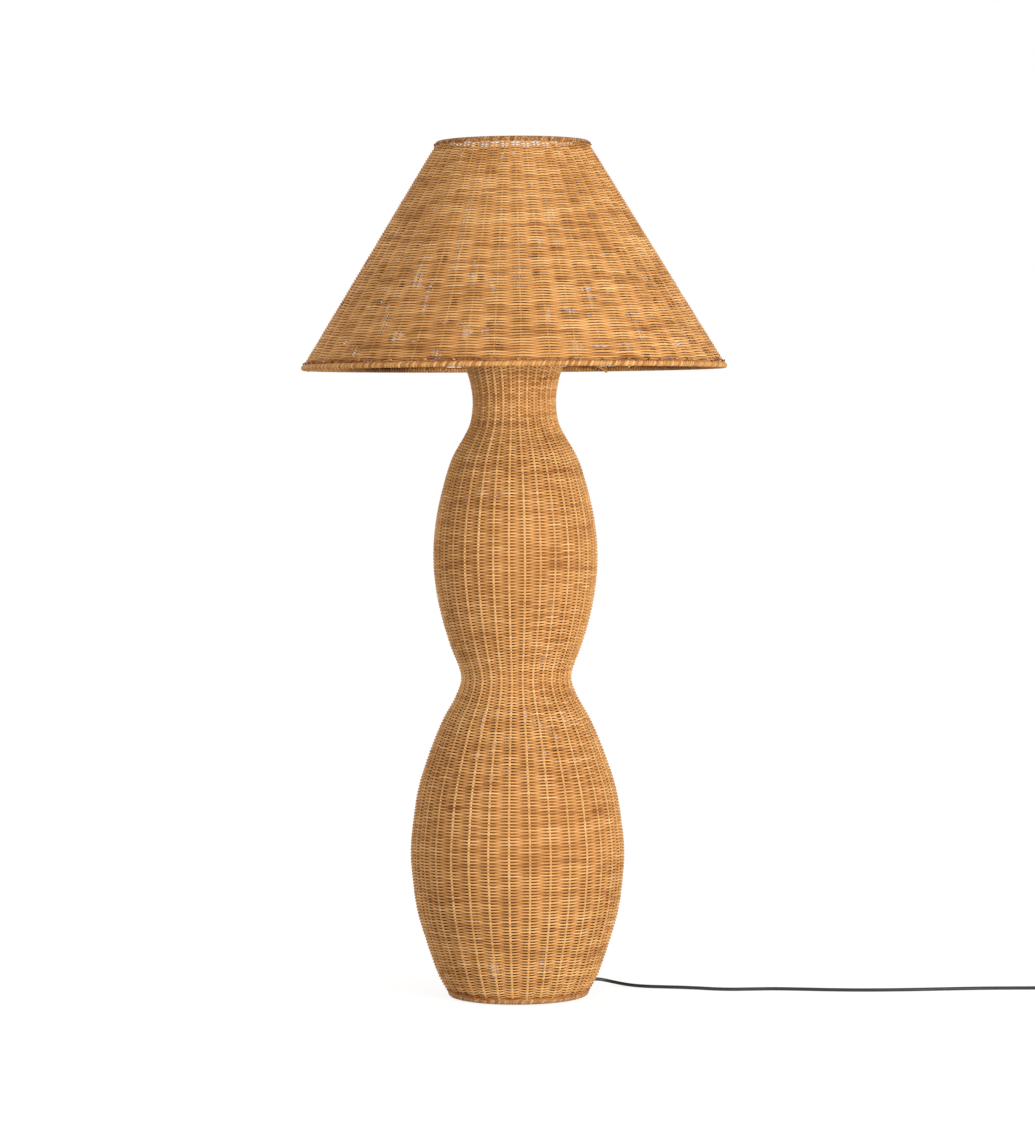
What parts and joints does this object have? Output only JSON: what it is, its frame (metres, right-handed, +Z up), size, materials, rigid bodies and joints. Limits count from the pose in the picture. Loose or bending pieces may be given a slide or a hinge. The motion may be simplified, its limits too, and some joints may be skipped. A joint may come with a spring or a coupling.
{
  "type": "rattan floor lamp",
  "caption": "Floor lamp with a woven rattan body of two bellies and a woven cone shade, a bulb in a ring-clamped lampholder, and a mains lead with a foot switch and a plug.",
  "frame": {"origin": "on the floor under the lamp's vertical axis, at the middle of the lamp's box without the lead", "axes": "+Z up along the lamp's axis; +X to the right as the picture shows the lamp, the way the lead runs; +Y to the back"},
  "size_m": [1.2138, 0.5996, 1.1999],
  "materials": {
    "rattan_weave": "natural golden rattan strands in a plain weave, satin",
    "rattan_dark": "darker rattan core wound round the edge, satin",
    "frame_steel": "dark powder-coated steel",
    "zinc": "bright zinc and nickel plate",
    "brass": "bare contact brass",
    "black_plastic": "black moulded plastic, satin",
    "ceramic": "glazed white insulating ceramic",
    "bulb_glass": "frosted white bulb glass",
    "rubber": "matt black rubber",
    "lead_sheath": "black flexible sheath, satin"
  },
  "bodies": {
    "lamp": {"body_weave": "rattan_weave", "body_foot_binding": "rattan_dark", "body_mouth_binding": "rattan_dark", "body_bar_1": "frame_steel", "body_bar_2": "frame_steel", "body_bar_3": "frame_steel", "body_bar_4": "frame_steel", "foot_ring": "frame_steel", "belly_ring": "frame_steel", "waist_ring": "frame_steel", "shoulder_ring": "frame_steel", "mouth_ring": "frame_steel", "base_plate": "frame_steel", "rubber_foot_1": "rubber", "rubber_foot_2": "rubber", "rubber_foot_3": "rubber", "rubber_foot_4": "rubber", "centre_tube": "frame_steel", "tube_nipple": "zinc", "top_plate": "frame_steel", "top_washer": "zinc", "top_nut": "zinc", "holder_cap": "black_plastic", "holder_barrel": "black_plastic", "holder_insert": "ceramic", "screw_shell": "brass", "centre_contact": "brass", "lead_gland": "rubber", "inner_lead": "lead_sheath", "lead_run": "lead_sheath", "switch_base": "black_plastic", "switch_cover": "black_plastic", "lead_link": "lead_sheath", "lead_coil": "lead_sheath", "coil_tie": "black_plastic", "lead_tail": "lead_sheath", "plug_body": "black_plastic", "plug_pin_1": "zinc", "plug_pin_2": "zinc"},
    "shade": {"shade_weave": "rattan_weave", "shade_low_wire": "frame_steel", "shade_top_wire": "frame_steel", "shade_low_binding": "rattan_weave", "shade_top_binding": "rattan_dark", "shade_rib_1": "frame_steel", "shade_rib_2": "frame_steel", "shade_rib_3": "frame_steel", "shade_rib_4": "frame_steel", "shade_rib_5": "frame_steel", "shade_rib_6": "frame_steel", "fitter_ring": "frame_steel", "fitter_arm_1": "frame_steel", "fitter_arm_2": "frame_steel", "fitter_arm_3": "frame_steel"},
    "clamp_ring": {"shade_clamp_ring": "black_plastic"},
    "bulb": {"bulb_glass": "bulb_glass", "bulb_cap": "zinc", "bulb_tip": "brass"},
    "button": {"switch_button": "black_plastic"}
  },
  "joints": [
    {"name": "shade_turn", "type": "hinge", "parent": "lamp", "child": "shade", "pos_m": [0, 0, 0.95], "axis": [0, 0, 1], "continuous": true},
    {"name": "clamp_ring_turn", "type": "hinge", "parent": "lamp", "child": "clamp_ring", "pos_m": [0, 0, 0.955], "axis": [0, 0, 1], "continuous": true},
    {"name": "bulb_unscrew", "type": "slide", "parent": "lamp", "child": "bulb", "axis": [0, 0, 1], "range_m": [0, 0.026]},
    {"name": "button_press", "type": "slide", "parent": "lamp", "child": "button", "axis": [0, 0, -1], "range_m": [0, 0.003], "stiffness_N_per_m": 600, "springref_m": -0.002}
  ]
}
